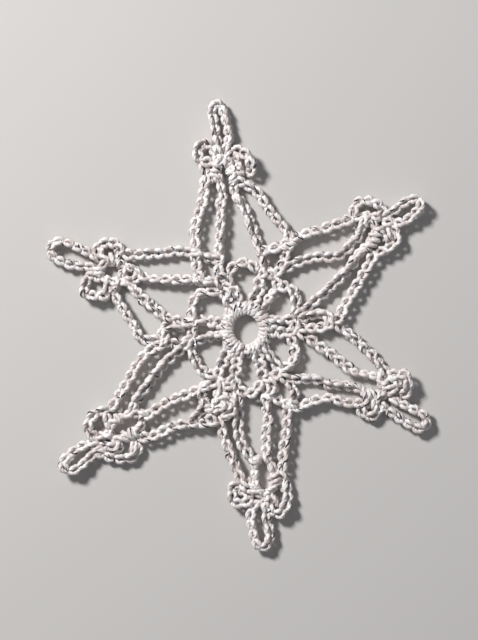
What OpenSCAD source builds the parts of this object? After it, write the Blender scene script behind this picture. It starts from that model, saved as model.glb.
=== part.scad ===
/* [Thread] */
// Thickness of the plied cotton thread
thread_d = 0.8; // [0.7:0.05:0.85]
// Room between two loops that hold each other
slack = 0.1; // [0.08:0.01:0.12]

/* [Centre] */
// Radius of the foundation ring
ring_r = 3.9; // [3.7:0.1:4.1]
// Angle between the two posts of a pair
pair_angle = 27; // [26:1:30]
// Distance from the middle to the head loop of a pair of posts
head_at = 10.7; // [10.5:0.1:11]
// Radius of a head loop
head_r = 2.3; // [2.2:0.05:2.4]
// Length of the stitches at the two ends of an arch
arch_len = 3.2; // [2.9:0.1:3.5]
// Radius of a valley loop
valley_r = 2; // [1.9:0.05:2.1]

/* [Points] */
// Radius of the two ends of an apex loop
apex_r = 1.9; // [1.85:0.05:2.1]
// Length of the straight sides of an apex loop
apex_straight = 5.6; // [5.5:0.1:6.2]
// Length of a stitch worked over the apex loop
shell_len = 2.8; // [2.8:0.05:3.1]
// Reach of a picot beyond the shell
picot_reach = 2; // [1.6:0.1:3]
// Width of a tip loop at its end
tip_w = 2.9; // [2.8:0.1:3.4]
// Length of a tip loop
tip_len = 6.6; // [6:0.1:8]

/* [Hidden] */
$fn = 20;

// Distance between the middles of two threads that are hooked together
grip = thread_d + slack;
// Height of the middle of the work above the surface it lies on
mid_z = grip + thread_d / 2;
// Shortest flat stitch and shortest upright stitch, measured from hook to hook
flat_len = grip + slack;
upright_len = 3 * grip + slack;
// Length of a flat stitch that a leg is worked into as well
hold_len = 2 * grip + slack;

// Valleys: clock hour, middle of the valley loop, direction of its pair of posts
VALLEYS = [
  [1, [9, 17], 63],
  [3, [17, 1.4], 4],
  [5, [9, -15.4], -56],
  [7, [-7.2, -16.6], -115],
  [9, [-19.6, -2.8], -178],
  [11, [-10.2, 15.4], 121]
];
// Points: clock hour, middle of the apex loop, direction of the tip
POINTS = [
  [12, [-4.3, 32.3], 98],
  [2, [24, 19], 33],
  [4, [26, -11.5], -36],
  [6, [3.8, -30.8], -91],
  [8, [-25, -20.5], -146],
  [10, [-27.2, 11.8], 160]
];
// Places where the two inner chains of each point cross its fold line, left and right
CROSSINGS = [[3.7, -3.7], [7, -0.5], [3.4, -3.4], [3, -4], [1.7, -5.9], [5, -2.6]];
count = len(POINTS);

// Directions in which stitches leave a head loop and the two ends of an apex loop
arch_turn = 98;
apex_chain_turn = 153;
apex_tip_turn = 29;

function unit(a) = [cos(a), sin(a)];
function heading(a, b) = atan2(b.y - a.y, b.x - a.x);
function toward(a, b, d) = a + d * unit(heading(a, b));

// Far end of a stitch of length d that is hooked round a loop of radius r
function radial(spot, r, dir, d) = spot + (r - grip + d) * unit(dir);

// Fold line of a point: it runs past the outer sides of the two valley loops
function left_of(k) = (k + count - 1) % count;
function fold_dir(k) = heading(VALLEYS[k][1], VALLEYS[left_of(k)][1]) - 90;
function fold_at(k) = VALLEYS[k][1] * unit(fold_dir(k)) + valley_r;
function fold_hook(k, i) =
  (fold_at(k) - grip) * unit(fold_dir(k)) + CROSSINGS[k][i] * unit(fold_dir(k) + 90);

function head_spot(j) = head_at * unit(VALLEYS[j][2]);
function on_axis(k, u) = POINTS[k][1] + u * unit(POINTS[k][2]);
function shell_head(k, u, turn) =
  radial(on_axis(k, u), apex_r, POINTS[k][2] + turn, shell_len);

// One stitch: a closed loop of thread, its straight sides to the nearest 0.02
module loop(straight, bend) {
  half = round(straight * 50) / 100;
  for (side = [0, 180]) rotate(side) {
    translate([half, 0, 0])
      rotate(-90)
        rotate_extrude(angle = 180) translate([bend, 0]) circle(d = thread_d);
    translate([-half, bend, 0])
      rotate([0, 90, 0]) cylinder(d = thread_d, h = 2 * half);
  }
}

module round_loop(spot, r) {
  translate([spot.x, spot.y, mid_z])
    rotate_extrude() translate([r, 0]) circle(d = thread_d);
}

module upright_stitch(a, b) {
  mid = (a + b) / 2;
  translate([mid.x, mid.y, mid_z])
    rotate([90, 0, heading(a, b)]) loop(norm(b - a) - 2 * grip, grip);
}

module flat_stitch(a, b) {
  mid = (a + b) / 2;
  translate([mid.x, mid.y, mid_z])
    rotate(heading(a, b)) loop(norm(b - a), grip);
}

module radial_stitch(spot, r, dir, d) {
  upright_stitch(radial(spot, r, dir, 0), radial(spot, r, dir, d));
}

// A straight row of as many stitches as there is room for, flat at both ends
module chain(a, b) {
  span = norm(b - a);
  pairs = floor((span - flat_len) / (flat_len + upright_len));
  stretch = span / (flat_len + pairs * (flat_len + upright_len));
  flat = flat_len * stretch;
  pitch = flat + upright_len * stretch;
  for (i = [0 : pairs]) {
    flat_stitch(toward(a, b, i * pitch), toward(a, b, i * pitch + flat));
    if (i < pairs)
      upright_stitch(toward(a, b, i * pitch + flat), toward(a, b, (i + 1) * pitch));
  }
}

module foundation_ring() {
  color("ivory") round_loop([0, 0], ring_r);
}

// Two double crochet posts, worked round the foundation ring and closed by a head loop
module post_pair(j) {
  color("snow") {
    round_loop(head_spot(j), head_r);
    for (side = [-1, 1]) {
      dir = VALLEYS[j][2] + side * pair_angle / 2;
      waist = radial([0, 0], ring_r, dir, upright_len);
      shoulder = radial([0, 0], ring_r, dir, upright_len + flat_len);
      radial_stitch([0, 0], ring_r, dir, upright_len);
      flat_stitch(waist, shoulder);
      upright_stitch(shoulder, toward(head_spot(j), shoulder, head_r - grip));
    }
  }
}

// Chain arch between two neighbouring pairs of posts
module arch(k) {
  from = left_of(k);
  out = VALLEYS[from][2] - arch_turn;
  back = VALLEYS[k][2] + arch_turn;
  color("floralwhite") {
    radial_stitch(head_spot(from), head_r, out, arch_len);
    flat_stitch(
      radial(head_spot(from), head_r, out, arch_len),
      radial(head_spot(k), head_r, back, arch_len)
    );
    radial_stitch(head_spot(k), head_r, back, arch_len);
  }
}

// Valley loop, the legs that hold it, and the roots of the two inner chains beside it
module valley(j) {
  spot = VALLEYS[j][1];
  color("seashell") {
    round_loop(spot, valley_r);
    for (side = [-1, 1]) {
      k = side > 0 ? j : (j + 1) % count;
      end = fold_hook(k, side > 0 ? 1 : 0);
      held = end - hold_len / 2 * unit(fold_dir(k));
      start = end - hold_len * unit(fold_dir(k));
      upright_stitch(toward(head_spot(j), start, head_r - grip), start);
      flat_stitch(start, end);
      upright_stitch(held, toward(spot, held, valley_r - grip));
    }
  }
}

// Outer chain of a point, from its valley loop to its shell
module outer_chain(k, side) {
  spot = VALLEYS[side > 0 ? left_of(k) : k][1];
  color("linen") {
    radial_stitch(spot, valley_r, fold_dir(k), upright_len);
    chain(
      radial(spot, valley_r, fold_dir(k), upright_len),
      shell_head(k, -apex_straight / 2, side * 90)
    );
  }
}

// Long chain loop: its two chains from the fold line up, and the apex loop that they hold
module long_loop(k) {
  low = on_axis(k, -apex_straight / 2);
  color("ivory") {
    translate([POINTS[k][1].x, POINTS[k][1].y, mid_z])
      rotate(POINTS[k][2]) loop(apex_straight, apex_r);
    for (side = [-1, 1]) {
      first = fold_hook(k, side > 0 ? 0 : 1);
      second = first + upright_len * unit(fold_dir(k));
      dir = POINTS[k][2] + side * apex_chain_turn;
      upright_stitch(first, second);
      chain(second, radial(low, apex_r, dir, upright_len));
      radial_stitch(low, apex_r, dir, upright_len);
    }
  }
}

// Stitches worked over the apex loop
module shell(k) {
  color("snow")
    for (side = [-1, 1]) {
      for (u = [-1, 0, 1] * apex_straight / 2)
        radial_stitch(on_axis(k, u), apex_r, POINTS[k][2] + side * 90, shell_len);
      radial_stitch(
        on_axis(k, apex_straight / 2), apex_r, POINTS[k][2] + side * apex_tip_turn, shell_len
      );
    }
}

// Small loops of chain on the two sides of the shell
module picots(k) {
  color("mintcream")
    for (side = [-1, 1]) {
      low = shell_head(k, 0, side * 90);
      high = shell_head(k, apex_straight / 2, side * 90);
      out = picot_reach * unit(POINTS[k][2] + side * 90);
      flat_stitch(low, low + out);
      upright_stitch(low + out, high + out);
      flat_stitch(high + out, high);
    }
}

// Large loop of chain at the end of a point, by which the ornament hangs
module tip_loop(k) {
  left = shell_head(k, apex_straight / 2, apex_tip_turn);
  right = shell_head(k, apex_straight / 2, -apex_tip_turn);
  far = (left + right) / 2 + tip_len * unit(POINTS[k][2]);
  half = tip_w / 2 * unit(POINTS[k][2] + 90);
  color("white") {
    chain(left, far + half);
    upright_stitch(far + half, far - half);
    chain(far - half, right);
  }
}

foundation_ring();
for (k = [0 : count - 1]) {
  post_pair(k);
  arch(k);
  valley(k);
  long_loop(k);
  outer_chain(k, 1);
  outer_chain(k, -1);
  shell(k);
  picots(k);
  tip_loop(k);
}
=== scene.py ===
import math
import random

import bmesh
import bpy
from mathutils import Matrix, Vector
from mathutils.geometry import interpolate_bezier


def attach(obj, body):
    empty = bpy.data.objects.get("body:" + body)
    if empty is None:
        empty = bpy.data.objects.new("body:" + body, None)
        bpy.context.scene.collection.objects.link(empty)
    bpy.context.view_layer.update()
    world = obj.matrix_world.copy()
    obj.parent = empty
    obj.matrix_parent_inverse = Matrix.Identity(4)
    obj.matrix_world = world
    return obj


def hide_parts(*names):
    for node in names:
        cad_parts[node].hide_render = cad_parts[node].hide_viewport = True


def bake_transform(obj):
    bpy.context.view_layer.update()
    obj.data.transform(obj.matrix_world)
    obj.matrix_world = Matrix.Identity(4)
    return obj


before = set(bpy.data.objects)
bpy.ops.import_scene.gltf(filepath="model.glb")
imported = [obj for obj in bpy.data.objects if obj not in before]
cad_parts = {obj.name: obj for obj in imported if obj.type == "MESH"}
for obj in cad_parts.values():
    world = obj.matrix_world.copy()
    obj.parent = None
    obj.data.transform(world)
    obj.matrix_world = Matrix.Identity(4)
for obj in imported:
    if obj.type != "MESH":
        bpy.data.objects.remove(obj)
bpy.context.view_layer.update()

MM = 0.001

# The thread: plies of cotton, and a fine flat metallic filament that dips in and out of them
PLIES = 3
THREAD_R = 0.48
PLY_DEPTH = 0.065
FILAMENT_W = 0.38
FILAMENT_T = 0.14
PLY_PITCH = 2.7
FILAMENT_PITCH = 3.0
# Depths of the filament, as shares of the thread's radius: the plies hide it at all but the last
FILAMENT_DEPTHS = (0.6, 0.64, 0.7, 0.74, 1.04)
# Height of the middle of the work above the surface it lies on
MID_Z = 1.25
# Lowest middle of a thread that rests on that surface
LOWEST = 0.66
# Length of one chain stitch
STITCH = 2.15
# A row of chain rolls to one side by about so many degrees, and on or back a little along its way
SWAY = 32.0
SWAY_SPREAD = (0.7, 1.3)
SWAY_DRIFT = 0.5
# How unlike the stitches of one chain are: roll in degrees, share of the width, shove in stitches
STITCH_ROLL = 16
STITCH_WIDTHS = (0.92, 1.1)
STITCH_SHOVE = 0.07
# Part of a stitch that may be shoved: base and head stay where they hold the next stitch
SHOVED = (0.2, 1.0)
# How far the last stitch of a chain reaches past its pitch, in stitches
CHAIN_TAIL = 0.25
# Stitches that differ from those of the long chains: length in mm, share of the width
RING_STITCH = {"pitch": 1.9, "width": 0.8}
POST_STITCH = {"pitch": 1.65, "width": 1.2}
HEAD_STITCH = {"pitch": 1.8}
LEG_STITCH = {"pitch": 1.95}
FASTENING_STITCH = {"pitch": 1.9, "roll": 40, "lift": 0.6}
SLIT_STITCH = {"pitch": 1.9, "width": 0.65}
FAN_STITCH = {"pitch": 1.75, "width": 0.8}
PICOT_STITCH = {"pitch": 2.0, "width": 0.95, "sway": 20}
TIP_STITCH = {"pitch": 2.05, "width": 0.76}
# The two posts of a pair roll towards each other by so many degrees
POST_ROLL = 30
# Wound thread: distance from turn to turn, and how much the turns lean along the row
WINDING_PITCH = 1.45
WINDING_SLANT = 0.45
# How unlike the turns are: half width, half height and shove in mm, share of the slant
TURN_REACH = (0.7, 1.15)
TURN_RISE = (0.65, 1.0)
TURN_SHOVE = 0.25
TURN_SLANT = (0.1, 1.9)
# Turns of thread round the ring at the feet of a pair of posts, in degrees from each foot.
# The two feet at 7 o'clock are so close that they share theirs.
FOOT_TURNS = ((-13, 0, 13), (-13, 0, 13))
SHARED_FOOT_TURNS = ((-13, 0, 13), (-19,))
# Half width and half height of such a turn in mm, and how far each step moves along the ring.
# The two ends of a turn meet on the inner side of the ring.
FOOT_REACH, FOOT_RISE = 1.15, 0.8
FOOT_DRIFT = 0.06
FOOT_STEPS, FOOT_STEP_ANGLE = 4, 40
# The foundation ring is pulled a little longer than wide, and is begun near the bottom
RING_WIDE, RING_TALL, RING_DOWN = 3.8, 4.25, 0.1
RING_START, RING_STEP = -100, 20
# Steps in which routes, turns and sweeps are drawn, and corners of the swept outlines
ROUTE_STEPS = 9
TURN_STEPS = 8
SWEEP_STEPS = 3
PLY_CORNERS = 12
RIBBON_CORNERS = 6

# One chain stitch as its thread runs: along the chain in stitches, across and up in mm.
# Two legs make the V on the front, the head lies behind the next stitch,
# and the bump on the back leads on to the next stitch.
CHAIN_STITCH = (
    (0.02, -0.12, -0.30),
    (0.28, -0.50, 0.22),
    (0.62, -0.80, 0.40),
    (0.98, -0.54, 0.16),
    (1.14, 0.00, -0.08),
    (0.98, 0.54, 0.16),
    (0.62, 0.80, 0.40),
    (0.28, 0.50, 0.22),
    (0.02, 0.12, -0.30),
    (0.22, 0.14, -0.66),
    (0.58, 0.00, -0.70),
    (0.88, -0.14, -0.54),
)

# Routes in mm, from the middle outwards. Points are named by clock hour, left is
# the counter-clockwise side.
POSTS = {
    1: (((0.8, 3.4), (1.5, 5.8), (2.5, 7.9), (2.5, 10.4)), ((2.5, 2.6), (4.2, 5.4), (6.1, 7.9))),
    3: (((3.0, 1.7), (5.3, 1.7), (7.6, 1.5)), ((3.1, -0.1), (5.4, -0.4), (7.8, -0.7))),
    5: (((2.3, -1.9), (3.8, -4.2), (5.4, -6.4)), ((1.2, -3.1), (2.3, -5.6), (3.1, -7.8), (3.1, -9.9))),
    7: (((-1.9, -2.6), (-1.7, -5.6), (-2.1, -9.0)), ((-2.7, -2.9), (-4.3, -5.3), (-5.0, -7.6))),
    9: (((-3.1, 1.0), (-5.2, 1.3), (-7.7, 1.4)), ((-3.1, -1.0), (-5.3, -1.3), (-8.0, -1.5))),
    11: (((-0.9, 3.2), (-1.7, 5.7), (-2.9, 8.5)), ((-2.4, 2.6), (-3.6, 5.6), (-4.5, 8.2))),
}
HEADS = {
    1: ((2.5, 10.2), (4.2, 11.3), (5.7, 10.2), (6.6, 8.0)),
    3: ((7.4, 1.9), (9.2, 2.0), (9.9, 0.6), (9.4, -0.6), (7.7, -0.9)),
    5: ((5.3, -6.2), (6.7, -7.9), (5.7, -9.6), (3.3, -10.0)),
    7: ((-2.2, -9.2), (-3.6, -10.6), (-5.4, -10.0), (-5.2, -7.6)),
    9: ((-7.7, 1.6), (-9.9, 1.6), (-10.7, -0.2), (-9.9, -2.0), (-8.0, -1.7)),
    11: ((-2.7, 8.6), (-3.9, 10.4), (-5.7, 10.0), (-4.9, 8.2)),
}
ARCHES = {
    12: ((-3.2, 10.8), (-2.6, 12.2), (-1.0, 13.0), (0.7, 12.9), (2.4, 11.4)),
    2: ((6.0, 8.2), (7.6, 8.4), (9.1, 7.9), (9.8, 5.9), (9.7, 3.4), (9.5, 2.2)),
    4: ((8.6, -1.2), (9.7, -3.0), (9.9, -5.5), (8.8, -7.2), (6.8, -8.2)),
    6: ((-2.6, -9.8), (-1.5, -12.0), (0.6, -13.1), (2.3, -11.9), (3.2, -10.2)),
    8: ((-10.6, -2.0), (-11.0, -4.2), (-9.8, -7.2), (-8.0, -9.0), (-5.8, -9.2)),
    10: ((-10.3, 1.8), (-10.7, 4.6), (-9.5, 6.8), (-7.6, 7.3), (-5.2, 7.2)),
}
LEGS = {
    1: (
        ((2.4, 15.0), (4.2, 15.6), (6.3, 16.2), (9.2, 17.3)),
        ((6.0, 10.4), (7.6, 13.0), (8.1, 15.4), (9.1, 17.3)),
    ),
    3: (
        ((10.2, 2.0), (13.3, 3.0), (16.0, 3.0), (17.6, 1.6)),
        ((10.3, 0.0), (13.0, 0.0), (15.2, 0.2), (17.6, 1.3)),
    ),
    5: (
        ((6.8, -9.1), (8.4, -10.8), (9.5, -12.2), (9.3, -14.0), (9.1, -15.8)),
        ((3.6, -13.0), (5.0, -13.5), (6.5, -14.4), (9.2, -15.4)),
        ((4.6, -9.9), (5.7, -11.5), (4.6, -13.2)),
    ),
    7: (
        ((-7.2, -10.6), (-9.0, -12.4), (-8.4, -14.6), (-6.8, -16.8), (-5.4, -18.6)),
        ((-4.8, -10.4), (-4.5, -13.0), (-5.0, -15.4), (-6.9, -17.0)),
        ((-2.9, -10.4), (-2.7, -13.4), (-3.2, -16.4), (-4.8, -18.2)),
    ),
    9: (
        ((-12.4, 0.2), (-14.2, 0.8), (-15.8, 0.5), (-16.7, -0.8), (-16.3, -2.2)),
        ((-10.8, -1.6), (-12.6, -2.8), (-15.2, -2.6), (-17.4, -2.3), (-19.4, -2.0)),
    ),
    11: (
        ((-6.2, 9.6), (-8.6, 9.8), (-9.6, 11.6), (-9.8, 13.6), (-10.4, 15.6)),
        ((-4.8, 14.0), (-6.4, 14.1), (-8.0, 14.4), (-10.3, 15.4)),
    ),
}
# Slip stitches that hold the chains of two points together in a valley
JOINS = {
    1: ((7.7, 15.7), (8.5, 16.6), (9.4, 17.7)),
    3: ((15.4, 1.8), (16.8, 1.5), (18.2, 0.9)),
    5: ((9.4, -13.8), (9.2, -15.0), (9.0, -16.4)),
    7: ((-7.6, -14.6), (-6.9, -16.3), (-6.2, -18.0)),
    9: ((-15.2, -2.5), (-16.4, -2.6), (-17.8, -2.6)),
    11: ((-9.8, 14.2), (-10.1, 15.4), (-10.2, 16.6)),
}
# The lump where the rounds are joined and the thread is fastened off, at 7 o'clock
FASTENING = ((-5.4, -10.0), (-5.3, -11.8), (-5.6, -13.6), (-4.4, -13.7), (-3.0, -14.4), (-2.6, -15.8))
FASTENING_WINDINGS = (
    ((-4.2, -9.9), (-3.6, -11.4), (-3.4, -13.2)),
    ((-5.6, -14.4), (-4.9, -15.6), (-4.5, -17.2)),
    ((-3.2, -14.6), (-3.0, -16.0), (-3.3, -17.4)),
    ((-4.6, -12.8), (-4.2, -14.2), (-4.2, -15.6)),
)
# The round knot on top of the lump: a ring of chain and wound thread inside it
KNOT_RING = (
    (-6.0, -16.8), (-6.3, -15.4), (-5.4, -14.1), (-3.9, -13.9), (-2.8, -14.8), (-2.7, -16.2),
    (-3.8, -17.1), (-5.0, -16.9),
)
KNOT_MIDDLE = ((-5.5, -15.9), (-4.8, -15.1), (-3.9, -15.1), (-3.6, -16.1), (-4.6, -16.4))
KNOT_STITCH = {"pitch": 1.8, "lift": 1.2}
KNOT_LIFT = 1.0

# Apex of each long loop, round the slit that the shell is worked over
SLITS = {
    12: (
        (-4.7, 26.2), (-5.2, 28.6), (-5.8, 31.0), (-5.6, 33.0), (-4.4, 34.3),
        (-3.2, 33.0), (-2.5, 31.2), (-2.3, 29.0), (-2.1, 26.8),
    ),
    2: (
        (20.8, 17.2), (22.3, 18.4), (22.9, 20.2), (24.2, 21.4), (25.7, 20.8),
        (25.8, 19.0), (24.8, 17.4), (23.4, 15.8), (21.9, 14.4),
    ),
    4: (
        (21.6, -8.7), (23.6, -9.1), (25.6, -9.5), (27.2, -10.6), (28.0, -12.2),
        (26.8, -13.4), (25.0, -13.1), (23.6, -12.5), (22.0, -11.6),
    ),
    6: (
        (3.9, -25.4), (5.0, -27.2), (5.4, -29.2), (5.3, -31.2), (4.2, -33.2),
        (2.6, -32.6), (1.9, -30.6), (1.9, -28.6), (1.8, -27.0), (2.8, -25.9),
    ),
    8: (
        (-20.6, -17.4), (-20.9, -19.0), (-22.2, -20.4), (-24.0, -21.3), (-26.0, -21.9),
        (-27.2, -20.6), (-26.4, -18.8), (-24.8, -17.6), (-22.9, -16.8),
    ),
    10: (
        (-22.6, 8.0), (-24.2, 9.2), (-26.8, 9.4), (-28.6, 10.2), (-29.2, 11.8),
        (-28.0, 13.4), (-26.0, 13.3), (-24.2, 12.8), (-22.4, 12.0), (-21.2, 11.0),
    ),
}
# Rows of thread wound over the sides of each slit
WINDINGS = {
    12: (
        ((-6.0, 33.4), (-6.2, 32.0), (-6.0, 30.6), (-6.0, 29.2)),
        ((-2.8, 31.0), (-2.2, 29.8), (-1.6, 28.4)),
    ),
    2: (
        ((22.0, 20.8), (23.6, 21.5), (25.4, 22.0)),
        ((26.6, 20.8), (26.2, 19.2), (25.2, 17.4), (23.9, 15.8), (23.2, 14.4)),
    ),
    4: (
        ((22.8, -12.7), (24.4, -13.1), (26.0, -13.5), (27.4, -14.6)),
        ((27.0, -10.2), (28.3, -11.2), (29.4, -12.4), (30.4, -13.6)),
    ),
    6: (
        ((5.5, -28.4), (5.7, -29.8), (5.6, -31.4), (5.2, -32.8)),
        ((1.8, -31.0), (1.9, -32.2), (2.2, -33.4)),
    ),
    8: (
        ((-21.6, -20.2), (-23.0, -21.2), (-24.6, -22.0), (-26.0, -22.6)),
        ((-24.6, -17.6), (-25.9, -18.1), (-27.2, -19.2)),
    ),
    10: (
        ((-24.6, 13.2), (-26.2, 13.6), (-27.8, 14.0), (-29.2, 13.4)),
        ((-29.3, 12.6), (-29.4, 11.4), (-28.8, 10.2)),
    ),
}
# Stitches between the slit and the picots of each shell
FANS = {
    12: (
        ((-5.2, 33.2), (-6.0, 34.8), (-6.6, 36.4)),
        ((-3.6, 32.2), (-3.6, 34.0), (-2.7, 35.5)),
        ((-9.0, 33.0), (-8.3, 31.4), (-7.8, 30.1), (-6.4, 29.6)),
        ((-2.2, 35.0), (-1.6, 33.6), (-0.9, 31.8)),
        ((-3.8, 31.3), (-2.2, 31.5), (-0.5, 31.0)),
    ),
    2: (
        ((26.6, 20.4), (27.6, 19.0), (28.4, 17.4)),
        ((21.4, 22.0), (23.2, 22.4), (25.0, 22.5), (26.8, 21.9)),
        ((28.6, 20.4), (28.6, 19.2), (29.4, 17.8)),
    ),
    4: (
        ((26.5, -8.8), (26.8, -10.4), (27.6, -11.6)),
        ((28.4, -9.4), (29.6, -10.2), (30.8, -11.4)),
        ((24.6, -13.4), (24.2, -14.8), (23.6, -15.8)),
        ((25.6, -13.6), (25.8, -14.8), (25.6, -16.2)),
    ),
    6: (
        ((-0.8, -30.0), (0.8, -31.0), (2.6, -31.2)),
        ((-1.4, -31.4), (-0.2, -32.6), (1.4, -33.2)),
        ((4.4, -33.0), (3.7, -34.4), (4.2, -35.8)),
        ((4.8, -33.0), (5.6, -34.0), (6.2, -35.4)),
        ((6.2, -28.5), (7.4, -29.3), (7.8, -30.8), (7.2, -32.4)),
    ),
    8: (
        ((-31.0, -23.2), (-28.6, -23.2), (-26.0, -23.4)),
        ((-30.0, -21.8), (-28.2, -21.3), (-26.6, -20.9)),
        ((-28.0, -16.8), (-27.7, -18.6), (-26.8, -20.0)),
        ((-23.0, -16.9), (-21.6, -16.7), (-20.0, -17.2)),
        ((-22.5, -22.2), (-22.3, -23.6), (-22.2, -25.0)),
        ((-25.2, -22.6), (-25.6, -23.8), (-26.2, -24.8)),
    ),
    10: (
        ((-25.9, 10.2), (-26.0, 8.6), (-26.4, 6.8)),
        ((-27.6, 10.4), (-27.7, 8.8), (-27.8, 7.0)),
        ((-28.8, 10.2), (-30.2, 10.6), (-31.8, 11.0)),
        ((-24.2, 12.4), (-24.4, 10.9), (-23.4, 9.7), (-22.0, 10.0), (-21.4, 11.0)),
        ((-28.6, 14.2), (-29.4, 15.2), (-30.0, 16.0)),
    ),
}
INNER_LEFT = {
    12: ((-4.6, 10.4), (-5.3, 11.7), (-5.2, 14.4), (-5.3, 16.9), (-5.1, 19.2), (-4.9, 22.1), (-4.9, 25.0)),
    2: ((7.4, 11.9), (9.6, 13.1), (11.9, 13.9), (14.2, 14.5), (16.5, 14.4), (18.5, 14.8), (20.2, 16.2)),
    4: ((10.2, -0.5), (12.8, -2.2), (14.8, -3.6), (17.1, -5.1), (19.1, -6.8), (20.8, -8.2)),
    6: ((4.1, -10.6), (4.1, -12.9), (4.1, -15.5), (4.5, -18.1), (4.2, -20.1), (4.1, -22.9), (4.2, -25.0)),
    8: (
        (-5.2, -10.2), (-8.4, -11.6), (-10.9, -12.8), (-13.5, -13.8), (-15.8, -14.8), (-18.1, -16.2),
        (-19.5, -17.3),
    ),
    10: ((-10.4, 0.8), (-11.9, 1.1), (-14.2, 1.7), (-16.5, 2.5), (-17.9, 3.9), (-19.9, 5.4), (-21.7, 7.1)),
}
INNER_RIGHT = {
    12: ((4.9, 10.4), (3.8, 12.1), (3.4, 14.4), (2.5, 16.7), (1.4, 19.2), (0.4, 22.1), (-0.9, 25.0)),
    2: ((9.7, 2.0), (11.1, 3.4), (13.3, 5.4), (15.3, 7.1), (17.1, 8.8), (19.1, 10.8), (20.8, 12.5)),
    4: (
        (6.6, -9.2), (8.4, -9.8), (10.2, -9.9), (12.5, -9.9), (14.8, -10.1), (16.5, -11.0),
        (18.5, -11.1), (21.1, -11.4),
    ),
    6: (
        (-1.9, -13.4), (-1.7, -15.2), (-1.6, -17.2), (-1.7, -19.6), (-1.1, -22.6), (0.1, -24.6),
        (1.4, -26.4),
    ),
    8: (
        (-11.0, -2.2), (-14.1, -4.8), (-16.1, -6.5), (-17.8, -8.5), (-19.5, -10.8), (-20.9, -12.5),
        (-22.2, -14.5),
    ),
    10: ((-6.0, 9.5), (-8.2, 9.4), (-10.5, 9.8), (-12.8, 9.7), (-15.4, 9.7), (-18.5, 9.8), (-20.8, 10.3)),
}
OUTER_LEFT = {
    12: ((-9.8, 15.9), (-10.1, 18.9), (-9.9, 21.0), (-9.3, 22.9), (-8.4, 26.1), (-8.2, 28.6), (-7.6, 30.4)),
    2: ((8.8, 17.6), (10.2, 18.2), (12.8, 19.1), (15.1, 19.7), (17.6, 20.7), (20.2, 21.5), (21.6, 22.2)),
    4: (
        (16.0, 2.2), (17.6, 1.2), (19.1, -0.2), (20.8, -1.3), (22.5, -2.8), (23.9, -4.2),
        (25.6, -5.9), (27.3, -8.2), (28.0, -9.6),
    ),
    6: ((8.8, -15.4), (8.3, -17.2), (8.3, -19.2), (8.1, -21.5), (7.6, -24.3), (7.5, -26.9), (7.4, -28.9)),
    8: (
        (-5.2, -18.4), (-7.2, -18.8), (-9.4, -18.9), (-11.4, -19.0), (-13.5, -19.3), (-15.5, -19.9),
        (-17.8, -21.2), (-19.8, -21.7), (-21.6, -21.6),
    ),
    10: (
        (-18.4, -2.2), (-20.4, -1.9), (-21.5, -0.8), (-22.2, 0.8), (-23.4, 2.6), (-24.2, 3.9),
        (-25.1, 5.4), (-26.2, 7.2),
    ),
}
# Strand that branches off an outer chain and holds it to the valley
BRANCHES = {8: ((-8.2, -14.8), (-9.4, -16.6), (-11.2, -18.4))}
OUTER_RIGHT = {
    12: (
        (9.3, 17.4), (7.7, 20.4), (5.9, 22.4), (3.9, 25.0), (2.5, 27.3), (0.8, 28.5),
        (-0.9, 29.3), (-2.6, 29.9),
    ),
    2: (
        (17.3, 1.2), (18.8, 2.2), (19.5, 4.2), (20.8, 6.2), (21.9, 8.2), (23.1, 10.2),
        (24.2, 12.0), (25.1, 13.9), (25.6, 15.4),
    ),
    4: (
        (8.9, -15.6), (10.2, -15.9), (11.9, -15.1), (14.5, -14.2), (16.8, -14.0), (19.1, -14.7),
        (21.1, -14.9), (22.8, -14.9), (24.0, -14.4),
    ),
    6: (
        (-5.6, -17.4), (-4.8, -19.2), (-4.4, -20.9), (-3.7, -23.2), (-2.9, -24.9), (-2.2, -26.9),
        (-1.3, -29.0), (-0.4, -30.7),
    ),
    8: (
        (-15.8, -2.8), (-17.8, -3.5), (-19.7, -4.8), (-21.2, -6.6), (-22.4, -8.5), (-23.7, -10.8),
        (-24.9, -12.8), (-26.2, -14.8), (-27.1, -16.2),
    ),
    10: (
        (-10.0, 15.2), (-11.4, 15.5), (-13.7, 15.7), (-16.5, 15.2), (-19.4, 15.1), (-22.2, 14.8),
        (-24.6, 15.0),
    ),
}
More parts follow.
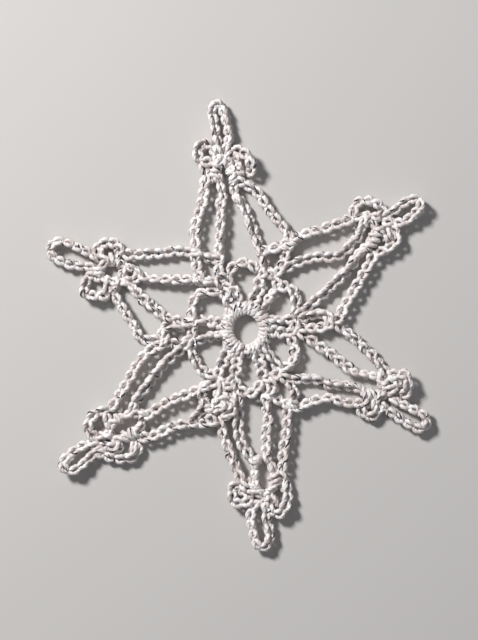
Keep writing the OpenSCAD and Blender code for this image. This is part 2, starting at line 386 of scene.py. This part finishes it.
PICOTS = {
    12: (
        ((-6.5, 36.4), (-8.3, 37.3), (-9.6, 36.2), (-9.7, 34.6), (-8.6, 33.4), (-6.7, 33.2)),
        ((-2.9, 35.5), (-1.2, 35.6), (0.0, 34.7), (0.9, 33.2), (1.2, 31.6), (0.2, 30.8)),
    ),
    2: (
        ((21.6, 22.4), (21.7, 24.2), (23.0, 25.5), (24.7, 25.3), (26.4, 24.6), (27.2, 23.4), (27.0, 22.0)),
        ((28.6, 20.4), (29.9, 19.4), (30.2, 17.8), (29.0, 16.4), (27.2, 15.4), (25.6, 14.8)),
    ),
    4: (
        ((28.4, -9.2), (30.3, -9.0), (31.8, -9.3), (32.1, -10.8), (32.0, -12.4), (31.0, -13.6)),
        ((22.9, -15.2), (23.3, -16.6), (24.4, -17.3), (25.8, -16.9), (26.5, -15.6), (25.6, -14.4)),
    ),
    6: (
        (
            (-1.2, -31.0), (-2.6, -31.4), (-2.9, -33.0), (-2.5, -34.5), (-1.1, -34.8), (0.3, -34.4),
            (1.2, -33.6),
        ),
        ((7.7, -30.4), (8.1, -32.2), (8.1, -34.2), (7.5, -35.7), (6.4, -36.8), (5.2, -36.4), (4.6, -35.0)),
    ),
    8: (
        ((-27.4, -15.9), (-29.2, -16.4), (-30.8, -17.6), (-31.5, -19.2), (-31.0, -20.9), (-29.6, -21.8)),
        (
            (-30.4, -24.3), (-28.7, -24.8), (-26.9, -25.5), (-24.9, -25.8), (-22.9, -25.5), (-21.8, -24.5),
            (-21.6, -22.8),
        ),
    ),
    10: (
        ((-29.6, 14.8), (-29.3, 16.5), (-27.9, 17.3), (-26.4, 17.1), (-25.3, 16.2), (-25.2, 14.8)),
        ((-31.6, 10.4), (-32.3, 8.8), (-32.1, 7.0), (-30.5, 6.5), (-28.7, 6.6), (-27.4, 6.3)),
    ),
}
TIPS = {
    12: (
        (-4.7, 34.6), (-5.4, 36.2), (-6.0, 38.2), (-6.6, 41.5), (-7.0, 43.6), (-5.9, 45.1),
        (-4.7, 44.1), (-3.9, 41.5), (-3.3, 38.2), (-3.9, 36.2), (-4.2, 34.4),
    ),
    2: (
        (27.0, 22.3), (29.0, 23.4), (31.0, 24.9), (32.7, 25.9), (34.0, 26.0), (34.8, 25.2),
        (34.6, 23.9), (33.2, 22.6), (31.1, 21.1), (29.4, 21.3), (27.2, 21.2),
    ),
    4: (
        (28.8, -13.8), (30.4, -14.8), (32.2, -15.6), (33.9, -16.4), (35.6, -17.4), (35.9, -18.8),
        (34.9, -19.8), (33.2, -19.2), (31.3, -18.1), (29.4, -16.8), (27.8, -15.6), (26.6, -14.6),
    ),
    6: (
        (2.7, -34.4), (1.4, -35.8), (0.9, -37.8), (1.4, -39.8), (1.9, -42.1), (2.9, -43.5),
        (4.4, -42.5), (4.6, -40.4), (4.0, -38.1), (4.0, -36.4), (3.8, -34.6),
    ),
    8: (
        (-29.4, -22.4), (-31.2, -22.9), (-33.5, -23.9), (-35.2, -25.2), (-36.4, -26.5), (-36.1, -27.7),
        (-34.7, -28.2), (-32.9, -27.2), (-31.5, -25.8), (-30.0, -24.5), (-28.4, -23.6),
    ),
    10: (
        (-29.2, 13.6), (-31.0, 15.0), (-33.7, 16.2), (-35.9, 17.2), (-37.9, 17.3), (-39.0, 16.2),
        (-38.7, 14.8), (-37.1, 13.7), (-35.6, 13.0), (-32.6, 12.6), (-30.0, 12.2),
    ),
}
# How far the middle of a tip loop or picot stands up from the rest of the lace, in mm
TIP_LIFT = {12: 0.3, 2: 0.8, 4: 0.4, 6: 0.5, 8: 0.9, 10: 0.3}
PICOT_LIFT = {
    12: (0.2, 1.4), 2: (0.7, 0.2), 4: (1.5, 0.2),
    6: (0.2, 0.8), 8: (0.4, 0.2), 10: (0.2, 0.5),
}
# The stage, in metres: half the floor, the middle and the height of what the picture shows
FLOOR_HALF = 1.5
VIEW_MIDDLE = (-0.0014, 0.0018)
VIEW_HEIGHT = 0.128
# Lamps: name, place and size in metres, power in watts
LAMPS = (
    ("key", (-0.36, 0.34, 0.42), 0.12, 5.0),
    ("fill", (0.45, -0.25, 0.5), 0.6, 0.5),
)


def smooth(points, lift=0.0):
    """A smooth route in mm through the points, raised by lift in its middle."""
    flat = [Vector((x, y, MID_Z)) for x, y in points]
    ends = [2 * flat[0] - flat[1]] + flat + [2 * flat[-1] - flat[-2]]
    route = []
    for a, b, c, d in zip(ends, ends[1:], ends[2:], ends[3:]):
        route += interpolate_bezier(b, b + (c - a) / 6, c - (d - b) / 6, c, ROUTE_STEPS)[:-1]
    route.append(flat[-1])
    for i, p in enumerate(route):
        p.z += lift * math.sin(math.pi * i / (len(route) - 1)) ** 2
    return route


def lengths(route):
    """Distance from the start to each place of a route."""
    total = [0.0]
    for a, b in zip(route, route[1:]):
        total.append(total[-1] + (b - a).length)
    return total


def along(route, total, s):
    """Place and direction at distance s, straight on beyond the ends."""
    i = 0
    while i < len(route) - 2 and total[i + 1] < s:
        i += 1
    step = route[i + 1] - route[i]
    way = step.normalized()
    return route[i] + way * (s - total[i]), way


def on_surface(spot):
    """The thread's middle, kept clear of the surface that the lace lies on."""
    return Vector((spot.x, spot.y, max(spot.z, LOWEST)))


def chain(points, seed, pitch=STITCH, width=1.0, roll=0.0, sway=SWAY, lift=0.0):
    """The thread of a row of chain stitches along a route."""
    rng = random.Random(seed)
    route = smooth(points, lift)
    total = lengths(route)
    count = max(1, round((total[-1] - CHAIN_TAIL * pitch) / pitch))
    pitch = total[-1] / (count + CHAIN_TAIL)
    turn = rng.choice((-1, 1)) * rng.uniform(*SWAY_SPREAD) * sway
    drift = rng.uniform(-SWAY_DRIFT, SWAY_DRIFT) * sway / max(count, 3)
    thread = []
    for i in range(count):
        lean = math.radians(roll + turn + drift * i + rng.uniform(-STITCH_ROLL, STITCH_ROLL))
        wide = width * rng.uniform(*STITCH_WIDTHS)
        shove = rng.uniform(-STITCH_SHOVE, STITCH_SHOVE)
        for step, across, up in CHAIN_STITCH:
            shift = shove if SHOVED[0] < step < SHOVED[1] else 0.0
            spot, way = along(route, total, (i + step + shift) * pitch)
            side = Vector((-way.y, way.x, 0)).normalized()
            top = way.cross(side)
            if top.z < 0:
                top = -top
            turned = Matrix.Rotation(lean, 3, way)
            thread.append(on_surface(spot + turned @ (side * across * wide + top * up)))
    return thread


def wrap(middle):
    """One turn of thread round the foundation ring, its plane upright and through the middle."""
    way = middle.normalized().to_3d()
    side = Vector((-way.y, way.x, 0))
    base = Vector((middle.x, middle.y, MID_Z))
    thread = []
    for i in range(-FOOT_STEPS, FOOT_STEPS + 1):
        a = math.radians(FOOT_STEP_ANGLE * i)
        spot = base + way * FOOT_REACH * math.cos(a) + Vector((0, 0, FOOT_RISE * math.sin(a)))
        thread.append(on_surface(spot + side * i * FOOT_DRIFT))
    return thread


def winding(points, seed, lift=0.0):
    """Thread wound side by side over a route, each turn pulled a little differently."""
    rng = random.Random(seed)
    route = smooth(points, lift)
    total = lengths(route)
    turns = round(total[-1] / WINDING_PITCH)
    lean = rng.choice((-1, 1)) * WINDING_SLANT
    thread = []
    for i in range(turns):
        reach = rng.uniform(*TURN_REACH)
        rise = rng.uniform(*TURN_RISE)
        shove = rng.uniform(-TURN_SHOVE, TURN_SHOVE)
        slant = lean * rng.uniform(*TURN_SLANT)
        for step in range(TURN_STEPS):
            a = 2 * math.pi * step / TURN_STEPS
            out = reach * math.cos(a)
            s = (i + 0.5 + step / TURN_STEPS) * total[-1] / (turns + 1) + slant * out
            spot, way = along(route, total, s)
            side = Vector((-way.y, way.x, 0)).normalized()
            up = Vector((0, 0, rise * math.sin(a)))
            thread.append(on_surface(spot + side * (out + shove) + up))
    return thread


def profile(name, points):
    """A closed outline in mm, to be swept along threads."""
    curve = bpy.data.curves.new(name, "CURVE")
    curve.dimensions = "2D"
    spline = curve.splines.new("POLY")
    spline.points.add(len(points) - 1)
    for p, (x, y) in zip(spline.points, points):
        p.co = (x * MM, y * MM, 0, 1)
    spline.use_cyclic_u = True
    return bpy.data.objects.new(name, curve)


def corners(count):
    """Evenly spaced turns of a circle with their cosines and sines."""
    turns = [2 * math.pi * i / count for i in range(count)]
    return [(a, math.cos(a), math.sin(a)) for a in turns]


def ply_reach(turn):
    """How far the plies stand out from the middle of the thread."""
    return THREAD_R - PLY_DEPTH / 2 + PLY_DEPTH * math.cos(PLIES * turn)


plies = [(ply_reach(a) * c, ply_reach(a) * s) for a, c, s in corners(PLY_CORNERS)]
ply_profile = profile("ply_profile", plies)
ribbon = [(THREAD_R + FILAMENT_T / 2 * c, FILAMENT_W / 2 * s) for _, c, s in corners(RIBBON_CORNERS)]
filament_profile = profile("filament_profile", ribbon)


def swept(name, threads, outline, pitch):
    """A mesh of the outline swept along each thread, turning once in every pitch."""
    curve = bpy.data.curves.new(name, "CURVE")
    curve.dimensions = "3D"
    curve.bevel_mode = "OBJECT"
    curve.bevel_object = outline
    curve.use_fill_caps = True
    curve.resolution_u = SWEEP_STEPS
    curve.twist_mode = "MINIMUM"
    rng = random.Random(name)
    for thread in threads:
        spline = curve.splines.new("BEZIER")
        spline.bezier_points.add(len(thread) - 1)
        run = 0.0
        for i, (knot, spot) in enumerate(zip(spline.bezier_points, thread)):
            run += (spot - thread[i - 1]).length if i else 0.0
            knot.co = spot * MM
            knot.handle_left_type = knot.handle_right_type = "AUTO"
            knot.tilt = 2 * math.pi * run / pitch
            if outline == filament_profile:
                knot.radius = rng.choice(FILAMENT_DEPTHS)
    source = bpy.data.objects.new(name, curve)
    bpy.context.collection.objects.link(source)
    graph = bpy.context.evaluated_depsgraph_get()
    mesh = bpy.data.meshes.new_from_object(source.evaluated_get(graph))
    bpy.data.objects.remove(source)
    bpy.data.curves.remove(curve)
    return mesh


def piece(name, threads):
    """One piece of lace: its cotton thread and the filament that is twisted in with it."""
    whole = bmesh.new()
    sweeps = ((ply_profile, PLY_PITCH), (filament_profile, FILAMENT_PITCH))
    for index, (outline, pitch) in enumerate(sweeps):
        mesh = swept(name, threads, outline, pitch)
        start = len(whole.faces)
        whole.from_mesh(mesh)
        whole.faces.ensure_lookup_table()
        for face in whole.faces[start:]:
            face.material_index = index
            face.smooth = True
        bpy.data.meshes.remove(mesh)
    bmesh.ops.recalc_face_normals(whole, faces=whole.faces)
    made = bpy.data.meshes.new(name)
    whole.to_mesh(made)
    whole.free()
    made.materials.append(cotton)
    made.materials.append(filament)
    lace = bpy.data.objects.new(name, made)
    bpy.context.collection.objects.link(lace)
    return lace


def cotton_material():
    """Mercerised cotton: warm off-white, a little darker in patches, with fine fibres."""
    made = bpy.data.materials.new("cotton_thread")
    made.use_nodes = True
    nodes, links = made.node_tree.nodes, made.node_tree.links
    shader = nodes["Principled BSDF"]
    shader.inputs["Roughness"].default_value = 0.34
    shader.inputs["Specular IOR Level"].default_value = 0.7
    shader.inputs["Sheen Weight"].default_value = 0.25
    shader.inputs["Sheen Roughness"].default_value = 0.5
    where = nodes.new("ShaderNodeTexCoord")
    patches = nodes.new("ShaderNodeTexNoise")
    patches.inputs["Scale"].default_value = 420
    patches.inputs["Detail"].default_value = 3
    links.new(where.outputs["Object"], patches.inputs["Vector"])
    shades = nodes.new("ShaderNodeValToRGB")
    shades.color_ramp.elements[0].position = 0.32
    shades.color_ramp.elements[0].color = (0.7, 0.61, 0.58, 1)
    shades.color_ramp.elements[1].position = 0.62
    shades.color_ramp.elements[1].color = (0.9, 0.86, 0.85, 1)
    links.new(patches.outputs["Fac"], shades.inputs["Fac"])
    links.new(shades.outputs["Color"], shader.inputs["Base Color"])
    fibres = nodes.new("ShaderNodeTexNoise")
    fibres.inputs["Scale"].default_value = 5200
    fibres.inputs["Detail"].default_value = 2
    links.new(where.outputs["Object"], fibres.inputs["Vector"])
    bump = nodes.new("ShaderNodeBump")
    bump.inputs["Strength"].default_value = 0.6
    bump.inputs["Distance"].default_value = 0.0001
    links.new(fibres.outputs["Fac"], bump.inputs["Height"])
    links.new(bump.outputs["Normal"], shader.inputs["Normal"])
    return made


def filament_material():
    """Silver metallic filament, its base colour painted near black in random patches as painted dark
    reflections, silver elsewhere.
    """
    made = bpy.data.materials.new("silver_filament")
    made.use_nodes = True
    nodes, links = made.node_tree.nodes, made.node_tree.links
    shader = nodes["Principled BSDF"]
    shader.inputs["Metallic"].default_value = 1.0
    shader.inputs["Roughness"].default_value = 0.22
    where = nodes.new("ShaderNodeTexCoord")
    painted_reflection_mask = nodes.new("ShaderNodeTexNoise")
    painted_reflection_mask.inputs["Scale"].default_value = 900
    links.new(where.outputs["Object"], painted_reflection_mask.inputs["Vector"])
    # Painted reflection: the ramp colours most of the filament near black for dark reflections, the rest
    # silver.
    painted_reflection_tones = nodes.new("ShaderNodeValToRGB")
    painted_reflection_tones.color_ramp.elements[0].position = 0.5
    painted_reflection_tones.color_ramp.elements[0].color = (0.05, 0.05, 0.06, 1)
    painted_reflection_tones.color_ramp.elements[1].position = 0.66
    painted_reflection_tones.color_ramp.elements[1].color = (0.75, 0.76, 0.8, 1)
    links.new(painted_reflection_mask.outputs["Fac"], painted_reflection_tones.inputs["Fac"])
    links.new(painted_reflection_tones.outputs["Color"], shader.inputs["Base Color"])
    return made


cotton = cotton_material()
filament = filament_material()


def shell_threads(hour):
    """Stitches worked over the slit of a point."""
    threads = [winding(route, f"winding_{hour}_{i}") for i, route in enumerate(WINDINGS[hour])]
    for i, route in enumerate(FANS[hour]):
        threads.append(chain(route, f"fan_{hour}_{i}", **FAN_STITCH))
    return threads


def on_centre(name, threads):
    """A piece that stays with the centre."""
    lace = piece(name + "_lace", threads)
    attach(lace, "centre")
    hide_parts(name)


def on_point(name, threads, hour):
    """A piece that moves with a point."""
    lace = piece(name + "_lace", threads)
    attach(lace, f"point_{hour}")
    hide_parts(name)


def over_fold(name, threads):
    """A piece attached to no body, its transform baked into its mesh."""
    lace = piece(name + "_lace", threads)
    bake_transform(lace)
    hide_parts(name)


def on_ring(turn):
    """A place on the foundation ring, by its turn in degrees."""
    a = math.radians(turn)
    return Vector((RING_WIDE * math.cos(a), RING_TALL * math.sin(a) - RING_DOWN))


ring = [on_ring(RING_START + RING_STEP * i) for i in range(360 // RING_STEP + 1)]
on_centre("foundation_ring", [chain(ring, "ring", **RING_STITCH)])

for hour, posts in POSTS.items():
    threads = []
    feet = SHARED_FOOT_TURNS if hour == 7 else FOOT_TURNS
    for i, post in enumerate(posts):
        roll = POST_ROLL * (1 - 2 * i)
        threads.append(chain(post, f"post_{hour}_{i}", roll=roll, **POST_STITCH))
        foot = math.degrees(math.atan2(post[0][1], post[0][0]))
        threads += [wrap(on_ring(foot + turn)) for turn in feet[i]]
    threads.append(chain(HEADS[hour], f"head_{hour}", **HEAD_STITCH))
    on_centre(f"post_pair_{hour}", threads)

for hour, route in ARCHES.items():
    on_centre(f"arch_{hour}", [chain(route, f"arch_{hour}")])

for hour, legs in LEGS.items():
    threads = [chain(leg, f"leg_{hour}_{i}", **LEG_STITCH) for i, leg in enumerate(legs)]
    threads.append(winding(JOINS[hour], f"join_{hour}"))
    if hour == 7:
        threads.append(chain(FASTENING, "fastening", **FASTENING_STITCH))
        threads += [winding(route, f"fastening_{i}") for i, route in enumerate(FASTENING_WINDINGS)]
        threads.append(chain(KNOT_RING, "knot_ring", **KNOT_STITCH))
        threads.append(winding(KNOT_MIDDLE, "knot_middle", lift=KNOT_LIFT))
    on_centre(f"valley_{hour}", threads)

for hour, slit in SLITS.items():
    left, right = INNER_LEFT[hour], INNER_RIGHT[hour]
    loop = [
        chain(left + slit[:1], f"inner_left_{hour}"),
        chain(left[-1:] + slit + right[-1:], f"slit_{hour}", **SLIT_STITCH),
        chain(right + slit[-1:], f"inner_right_{hour}"),
    ]
    over_fold(f"long_loop_{hour}", loop)
    threads = [chain(OUTER_LEFT[hour], f"left_{hour}")]
    if hour in BRANCHES:
        threads.append(chain(BRANCHES[hour], f"branch_{hour}"))
    over_fold(f"left_chain_{hour}", threads)
    over_fold(f"right_chain_{hour}", [chain(OUTER_RIGHT[hour], f"right_{hour}")])
    on_point(f"shell_{hour}", shell_threads(hour), hour)
    picots = [
        chain(route, f"picot_{hour}_{i}", lift=lift, **PICOT_STITCH)
        for i, (route, lift) in enumerate(zip(PICOTS[hour], PICOT_LIFT[hour]))
    ]
    on_point(f"picots_{hour}", picots, hour)
    tip = chain(TIPS[hour], f"tip_{hour}", lift=TIP_LIFT[hour], **TIP_STITCH)
    on_point(f"tip_loop_{hour}", [tip], hour)


def studio():
    """Pale floor, soft light from the upper left and a camera that looks straight down."""
    paper = bpy.data.materials.new("pale_floor")
    paper.use_nodes = True
    shader = paper.node_tree.nodes["Principled BSDF"]
    shader.inputs["Base Color"].default_value = (0.62, 0.6, 0.58, 1)
    shader.inputs["Roughness"].default_value = 0.9
    sheet = bmesh.new()
    bmesh.ops.create_grid(sheet, x_segments=1, y_segments=1, size=FLOOR_HALF)
    ground = bpy.data.meshes.new("floor")
    sheet.to_mesh(ground)
    sheet.free()
    ground.materials.append(paper)
    floor = bpy.data.objects.new("floor", ground)
    bpy.context.collection.objects.link(floor)

    for name, place, size, power in LAMPS:
        lamp = bpy.data.lights.new(name, "AREA")
        lamp.energy = power
        lamp.size = size
        light = bpy.data.objects.new(name, lamp)
        light.location = place
        light.rotation_euler = (-Vector(place)).to_track_quat("-Z", "Y").to_euler()
        bpy.context.collection.objects.link(light)

    world = bpy.data.worlds.new("studio")
    world.use_nodes = True
    sky = world.node_tree.nodes["Background"]
    sky.inputs["Color"].default_value = (0.9, 0.92, 1.0, 1)
    sky.inputs["Strength"].default_value = 0.12
    bpy.context.scene.world = world

    lens = bpy.data.cameras.new("camera")
    lens.sensor_fit = "VERTICAL"
    lens.sensor_height = 24
    lens.lens = 85
    lens.clip_start = 0.01
    camera = bpy.data.objects.new("camera", lens)
    camera.location = (*VIEW_MIDDLE, VIEW_HEIGHT * lens.lens / lens.sensor_height)
    bpy.context.collection.objects.link(camera)
    bpy.context.scene.camera = camera
    bpy.context.scene.view_settings.view_transform = "Standard"


studio()
